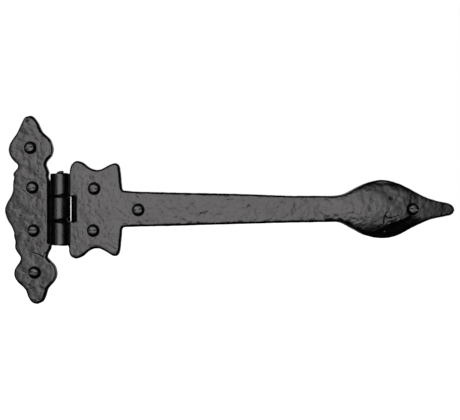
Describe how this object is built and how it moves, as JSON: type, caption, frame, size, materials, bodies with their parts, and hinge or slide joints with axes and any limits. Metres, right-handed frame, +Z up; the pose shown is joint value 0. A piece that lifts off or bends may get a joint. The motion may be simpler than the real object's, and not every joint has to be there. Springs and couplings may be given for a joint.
{
  "type": "tee hinge",
  "caption": "Cast-iron tee hinge with an ornamental frame plate, a horned crown, a long tapering strap ending in a domed leaf point, a pin and round-head wood screws.",
  "frame": {"origin": "on the back face of the frame plate, on the plate's centre line and level with the strap's centre line", "axes": "+Z up along the hinge pin, +X along the strap to its tip, +Y into the wall or door, so the fronts face -Y"},
  "size_m": [0.3487, 0.0344, 0.1459],
  "materials": {
    "painted_iron": "satin black paint over a hammered, lightly pitted iron casting",
    "painted_screw": "satin black paint on turned steel",
    "pin_steel": "thin black paint on a sheared steel rod"
  },
  "bodies": {
    "frame_leaf": {"frame_plate": "painted_iron", "plate_screw_top": "painted_screw", "plate_screw_upper": "painted_screw", "plate_screw_lower": "painted_screw", "plate_screw_bottom": "painted_screw"},
    "strap_leaf": {"strap": "painted_iron", "hinge_pin": "pin_steel", "crown_screw_upper": "painted_screw", "crown_screw_lower": "painted_screw", "neck_screw": "painted_screw", "spear_screw": "painted_screw"}
  },
  "joints": [
    {"name": "strap_swing", "type": "hinge", "parent": "frame_leaf", "child": "strap_leaf", "pos_m": [0.0224, -0.00715, 0], "axis": [0, 0, -1], "range_deg": [0, 172]}
  ]
}
